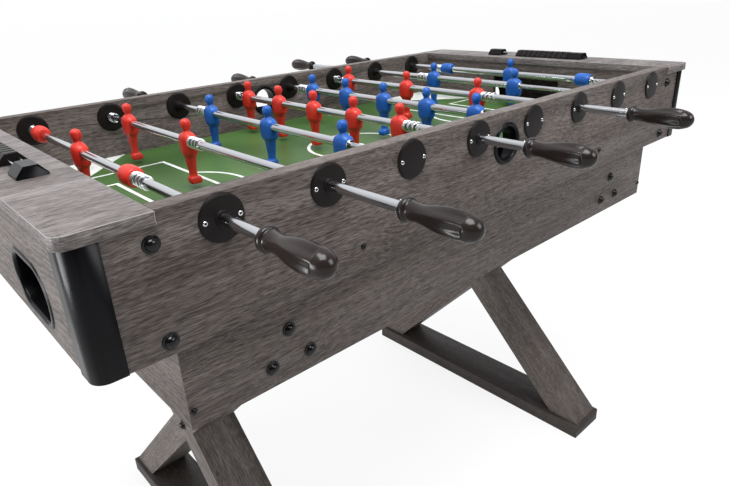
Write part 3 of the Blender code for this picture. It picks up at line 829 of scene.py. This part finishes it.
def make_bearing(rod, end):
    """Two flanges on a barrel through the wall. The handle side has hubs, the other is blind."""
    sign = -1 if end == "front" else 1
    name = f"{rod.label}_{end}_bearing"
    handle_side = sign == rod.side
    centre = TABLE_Y + sign * (WALL_OUT + WALL_IN) / 2
    matrix = turn_matrix((rod.x, centre, rod.z), "+Y" if sign > 0 else "-Y")
    half = (WALL_OUT - WALL_IN) / 2 + GAP
    face = half + FLANGE_T
    edge = 0.0010
    spool = (
        (FLANGE_R - 0.0022, face, 0.0004), (FLANGE_R, face - 0.0018, edge),
        (FLANGE_R, half, 0.0002),
        (0.0104, half, 0), (0.0104, -half, 0), (FLANGE_R, -half, 0.0002),
        (FLANGE_R, 0.0011 - face, edge), (FLANGE_R - 0.0035, -face, 0.001),
    )
    bm = bmesh.new()
    if handle_side:
        outer, inner, bore = face + 0.0025, -face - 0.0080, TUBE_R + 0.0003
        corners = (
            (bore, outer, 0.0004), (0.0092, outer, 0.0008), (0.0098, face, 0.0006), *spool,
            (0.0100, -face, 0.0006), (0.0094, inner, 0.0008), (bore, inner, 0.0004),
        )
        add_turned(bm, fillet(corners), matrix, closed=True)
    else:
        bore = THIN_ROD_R + 0.0003
        corners = (
            (0.0, face + 0.0002, 0), *spool, (0.0085, -face, 0.0005),
            (0.0080, -face - 0.0006, 0.0004), (bore, -face - 0.0006, 0.0003),
            (bore, half - 0.0003, 0), (0.0, half - 0.0003, 0),
        )
        add_turned(bm, fillet(corners), matrix)
    bearing = add_piece(name.replace("bearing", "flange"), bm, "black_satin")
    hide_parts(name)
    screws = bmesh.new()
    for x in (-SCREW_OFFSET, SCREW_OFFSET):
        add_screw(screws, matrix @ Matrix.Translation((x, face, 0)))
    add_piece(name.replace("bearing", "screws"), screws, "screw")


def add_bolt(bm, origin, axis):
    """A smooth domed bolt head on a flat washer."""
    matrix = turn_matrix(origin, axis)
    outline = fillet((
        (0.0, 0.0001, 0), (0.0102, 0.0001, 0), (0.0102, 0.0014, 0.0006), (0.0078, 0.0018, 0.0003),
        (0.0072, 0.0036, 0.0014), (0.0054, 0.0060, 0.0024), (0.0026, 0.0072, 0.0020),
        (0.0, 0.0074, 0),
    ))
    add_turned(bm, outline, matrix, sides=36)


def add_small_screw(bm, origin, axis):
    outline = fillet((
        (0.0, 0.0001, 0), (0.0046, 0.0001, 0), (0.0046, 0.0010, 0.0005), (0.0030, 0.0026, 0.001),
        (0.0012, 0.0030, 0.0003), (0.0010, 0.0016, 0.0003), (0.0, 0.0016, 0),
    ))
    add_turned(bm, outline, turn_matrix(origin, axis), sides=24)


# how far from the table's middle, and how far up from the rods
CABINET_BOLTS = ((0.6065, -0.005), (0.6065, -0.1195))
CABINET_SCREW = (0.3225, -0.101)
APRON_BOLTS = ((0.4395, -0.190), (0.408, -0.2365), (0.471, -0.2365))
APRON_SCREW = (0.587, -0.240)
LEG_BOLT_BELOW = 0.5296


def make_fixings():
    apron_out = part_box("apron")[1].y - TABLE_Y
    for name, sign, axis in (("front", -1, "-Y"), ("back", 1, "+Y")):
        cabinet = bmesh.new()
        base = bmesh.new()
        for end in (-1, 1):
            for x, z in CABINET_BOLTS:
                add_bolt(cabinet, table_point(end * x, sign * WALL_OUT, ROD_Z + z), axis)
            x, z = CABINET_SCREW
            add_small_screw(cabinet, table_point(end * x, sign * WALL_OUT, ROD_Z + z), axis)
            for x, z in APRON_BOLTS:
                add_bolt(base, table_point(end * x, sign * apron_out, ROD_Z + z), axis)
            x, z = APRON_SCREW
            add_small_screw(base, table_point(end * x, sign * apron_out, ROD_Z + z), axis)
        add_piece(f"cabinet_bolts_{name}", cabinet, "bolt")
        add_piece(f"apron_bolts_{name}", base, "bolt")
    for name, sign, axis in (("left", -1, "-X"), ("right", 1, "+X")):
        bm = bmesh.new()
        low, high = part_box(f"leg_frame_{name}")
        outside = low.x if sign < 0 else high.x
        inside = high.x if sign < 0 else low.x
        z = ROD_Z - LEG_BOLT_BELOW
        add_bolt(bm, Vector((outside, TABLE_Y, z)), axis)
        add_bolt(bm, Vector((inside, TABLE_Y, z)), "+X" if sign < 0 else "-X")
        add_piece(f"leg_bolts_{name}", bm, "bolt")


ENTRY_BELOW = 0.0225  # from the rods down to the middle of the ball entry
ENTRY_RIM_R, ENTRY_SLEEVE_R, ENTRY_THROAT_R = 0.0350, 0.0291, 0.0272
ENTRY_LIP = radians(62)  # how far the lip reaches round from the bottom, to each side
RETURN_Y = 0.192
RETURN_BELOW = 0.0835
RETURN_STRAIGHT = 0.030  # half of the oval's straight length


def make_ball_entry(name, sign):
    """A black cup through the side panel, rounded on both faces, with a low lip inside."""
    wall = (WALL_OUT - WALL_IN) / 2
    centre = table_point(0, sign * (WALL_OUT + WALL_IN) / 2, ROD_Z - ENTRY_BELOW)
    matrix = turn_matrix(centre, "+Y" if sign > 0 else "-Y")
    rim, sleeve, throat = ENTRY_RIM_R, ENTRY_SLEEVE_R, ENTRY_THROAT_R
    out, inner = wall + 0.0034, -wall - 0.0030
    corners = (
        (throat, inner + 0.0008, 0.0005), (throat, out - 0.0030, 0.0030), (0.0300, out, 0.0014),
        (rim - 0.0012, out - 0.0008, 0.0014), (rim, wall + 0.0002, 0), (sleeve, wall + 0.0002, 0),
        (sleeve, -wall - 0.0002, 0), (rim - 0.0010, -wall - 0.0002, 0),
        (rim - 0.0018, inner, 0.0010), (throat + 0.0012, inner, 0.0008),
    )
    bm = bmesh.new()
    add_turned(bm, fillet(corners), matrix, sides=64, closed=True)
    lip = circle_points(0, 0, throat * 1.01, -pi / 2 - ENTRY_LIP, -pi / 2 + ENTRY_LIP, 24)
    faces = (inner + 0.0012, inner + 0.0042)
    add_rings(bm, [[matrix @ Vector((x, y, z)) for x, z in lip] for y in faces])
    add_piece(f"ball_entry_{name}", bm, "black")


def make_ball_return(name, sign):
    """A black oval bezel that lines the opening in the end panel."""
    low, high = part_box(f"end_box_{name}")
    face = low.x if sign < 0 else high.x
    centre = table_point(0, sign * RETURN_Y, ROD_Z - RETURN_BELOW)
    # radius at the round ends, distance in from the panel's face
    section = fillet((
        (0.0335, 0.0180, 0.0), (0.0335, 0.0010, 0.0030), (0.0358, -0.0018, 0.0016),
        (0.0408, -0.0016, 0.0016), (0.0424, -0.0004, 0.0), (0.0424, -0.0002, 0.0),
        (0.0347, -0.0002, 0.0), (0.0347, 0.0180, 0.0),
    ))
    steps = 72
    rows = []
    for radius, depth in section:
        ring = []
        for step in range(steps):
            angle = tau * (step + 0.5) / steps
            y = radius * cos(angle) + RETURN_STRAIGHT * (1 if cos(angle) > 0 else -1)
            x = face - sign * depth
            ring.append(Vector((x, centre.y + y, centre.z + radius * sin(angle))))
        rows.append(ring)
    bm = bmesh.new()
    add_rings(bm, rows, closed=True)
    add_piece(f"ball_return_{name}", bm, "black")


# ---- Scorers -------------------------------------------------------------------
BEAD_COUNT = 10
SCORER_ROD_X = 0.0062
SCORER_ROD_R = 0.0015
SCORER_ROD_Z = 0.0075
BEAD_GAP = 0.002
SCORER_BLOCK_L = 0.040
SCORER_SECTION = ((0.0188, 0.0), (0.0188, 0.0030), (0.0085, 0.0148))  # half width, height


def add_ridge(bm, x, base, low_y, high_y, shrink=0.0, slant=0.0):
    """A bar along Y with the scorer's sloping sides and softened corners."""
    half = [(w - shrink, h + (shrink if h == 0 else 0)) for w, h in SCORER_SECTION]
    half[-1] = (half[-1][0], half[-1][1] - shrink)
    corners = [(w, h) for w, h in half] + [(-w, h) for w, h in reversed(half)]
    rings = []
    soft = min(0.0008, (high_y - low_y) / 4)
    for y, pull in ((low_y, soft), (low_y + soft, 0.0), (high_y - soft, 0.0), (high_y, soft)):
        lean = 0.0
        ring = []
        for w, h in corners:
            if slant and y in (low_y, high_y):
                lean = slant * h
            inset = pull if h > 0 else 0.0
            toward = 1 if w > 0 else -1
            shift = lean if y < (low_y + high_y) / 2 else -lean
            ring.append(Vector((x + w - toward * inset * 0.7, y + shift, base + h - inset * 0.7)))
        rings.append(ring)
    add_rings(bm, rings)


def make_scorer(name):
    low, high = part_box(f"scorer_rail_{name}")
    x, base = (low.x + high.x) / 2, low.z
    rail = bmesh.new()
    add_ridge(rail, x, base, low.y, low.y + SCORER_BLOCK_L, slant=0.35)
    add_ridge(rail, x, base, high.y - SCORER_BLOCK_L, high.y, slant=0.35)
    piece = add_piece(f"scorer_blocks_{name}", rail, "black", smooth=40)
    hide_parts(f"scorer_rail_{name}")
    wires = bmesh.new()
    z = base + SCORER_ROD_Z
    for offset in (-SCORER_ROD_X, SCORER_ROD_X):
        ends = (
            (x + offset, low.y + SCORER_BLOCK_L - 0.01, z),
            (x + offset, high.y - SCORER_BLOCK_L + 0.01, z),
        )
        add_wire(wires, ends, SCORER_ROD_R, sides=16)
    add_piece(f"scorer_wires_{name}", wires, "chrome", smooth=40)

    bead_low, bead_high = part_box(f"scorer_beads_{name}")
    pitch = (bead_high.y - bead_low.y + BEAD_GAP) / BEAD_COUNT
    beads = bmesh.new()
    for i in range(BEAD_COUNT):
        start = bead_low.y + i * pitch
        add_ridge(beads, x, bead_low.z, start, start + pitch - BEAD_GAP)
        if i:  # a narrower core joins each bead to the one before it
            core = (start - BEAD_GAP - 0.0002, start + 0.0002)
            add_ridge(beads, x, bead_low.z, *core, shrink=0.0028)
    piece = add_piece(f"scorer_slide_{name}", beads, "black_satin", f"scorer_{name}", smooth=40)
    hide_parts(f"scorer_beads_{name}")


# ---- Everything ----------------------------------------------------------------
def make_rods():
    meshes = {"red": player_mesh("red", 1), "blue": player_mesh("blue", -1)}
    labels = [body[: -len("_men")] for body in frame["bodies"] if body.endswith("_men")]
    for label in labels:
        rod = Rod(label)
        make_tube(rod)
        make_spring(rod)
        make_end_ring(rod)
        make_players(rod, meshes)
        make_grip(rod)
        make_thin_rod(rod)
        make_bearing(rod, "front")
        make_bearing(rod, "back")


# ---- Studio --------------------------------------------------------------------
def make_floor():
    mesh = bpy.data.meshes.new("floor")
    reach = 40.0
    corners = [(-reach, -reach, 0), (reach, -reach, 0), (reach, reach, 0), (-reach, reach, 0)]
    mesh.from_pydata(corners, [], [(0, 1, 2, 3)])
    floor = bpy.data.objects.new("floor", mesh)
    bpy.context.scene.collection.objects.link(floor)
    white = (1.0, 1.0, 1.0, 1.0)
    graph = Graph(
        "studio_floor", (0.14, 0.14, 0.14, 1.0), 0.7,
        Specular_IOR_Level=0.1, Emission_Color=white,
    )
    seen = graph.node("ShaderNodeLightPath", output="Is Camera Ray")
    graph.join(graph.band(seen, 0.0, 1.0, 0.52, 0.85), "Emission Strength")
    mesh.materials.append(graph.material)


# name, place, what it points at, size, watts, colour
SOFTBOXES = (
    ("overhead", (-0.9, -1.0, 5.2), (-0.2, 0.0, 0.0), (3.0, 3.0), 300, (0.98, 0.99, 1.0)),
    ("front_high", (1.6, -3.8, 3.0), (0.0, -0.2, 0.4), (2.4, 1.8), 95, (0.97, 0.98, 1.0)),
    ("left_window", (-3.6, 0.75, 0.70), (0.0, 0.3, 0.6), (1.8, 1.2), 105, (0.96, 0.98, 1.0)),
)


def add_softbox(name, place, target, size, power, colour):
    data = bpy.data.lights.new(name, "AREA")
    data.shape = "RECTANGLE"
    data.size, data.size_y = size
    data.energy = power
    data.color = colour
    light = bpy.data.objects.new(name, data)
    bpy.context.scene.collection.objects.link(light)
    light.location = place
    aim = Vector(target) - Vector(place)
    light.rotation_euler = aim.to_track_quat("-Z", "Y").to_euler()


def make_world():
    """A white backdrop to the camera. On the table, soft light from behind and above."""
    world = bpy.data.worlds.new("studio")
    world.use_nodes = True
    nodes, links = world.node_tree.nodes, world.node_tree.links
    white = nodes["Background"]
    white.inputs["Color"].default_value = (1.0, 1.0, 1.0, 1.0)
    white.inputs["Strength"].default_value = 1.0
    way = nodes.new("ShaderNodeTexCoord")
    facing = nodes.new("ShaderNodeVectorMath")
    facing.operation = "DOT_PRODUCT"
    facing.inputs[1].default_value = Vector((0.25, 0.75, 0.60)).normalized()
    strength = nodes.new("ShaderNodeMapRange")
    for socket, value in ((1, -0.10), (2, 0.95), (3, 0.08), (4, 1.10)):
        strength.inputs[socket].default_value = value
    soft = nodes.new("ShaderNodeBackground")
    soft.inputs["Color"].default_value = (0.97, 0.98, 1.0, 1.0)
    sight = nodes.new("ShaderNodeLightPath")
    choice = nodes.new("ShaderNodeMixShader")
    links.new(way.outputs["Generated"], facing.inputs[0])
    links.new(facing.outputs["Value"], strength.inputs[0])
    links.new(strength.outputs[0], soft.inputs["Strength"])
    links.new(sight.outputs["Is Camera Ray"], choice.inputs[0])
    links.new(soft.outputs[0], choice.inputs[1])
    links.new(white.outputs[0], choice.inputs[2])
    links.new(choice.outputs[0], nodes["World Output"].inputs["Surface"])
    bpy.context.scene.world = world


def make_light():
    make_world()
    for name, place, target, size, power, colour in SOFTBOXES:
        add_softbox(name, place, target, size, power, colour)


def make_camera():
    data = bpy.data.cameras.new("camera")
    data.sensor_width = 36.0
    data.lens = 29.265
    data.clip_start, data.clip_end = 0.05, 200.0
    camera = bpy.data.objects.new("camera", data)
    bpy.context.scene.collection.objects.link(camera)
    camera.location = table_point(-0.8100, -0.9245, ROD_Z + 0.2237)
    camera.rotation_euler = [radians(angle) for angle in (66.616, 2.568, -42.481)]
    bpy.context.scene.camera = camera


dress_cabinet()
make_field_lines()
make_rods()
make_fixings()
for end_name, end_sign in (("front", -1), ("back", 1)):
    make_ball_entry(end_name, end_sign)
for end_name, end_sign in (("left", -1), ("right", 1)):
    make_ball_return(end_name, end_sign)
    make_scorer(end_name)
make_floor()
make_light()
make_camera()
bpy.context.scene.view_settings.view_transform = "Standard"

bpy.context.view_layer.update()
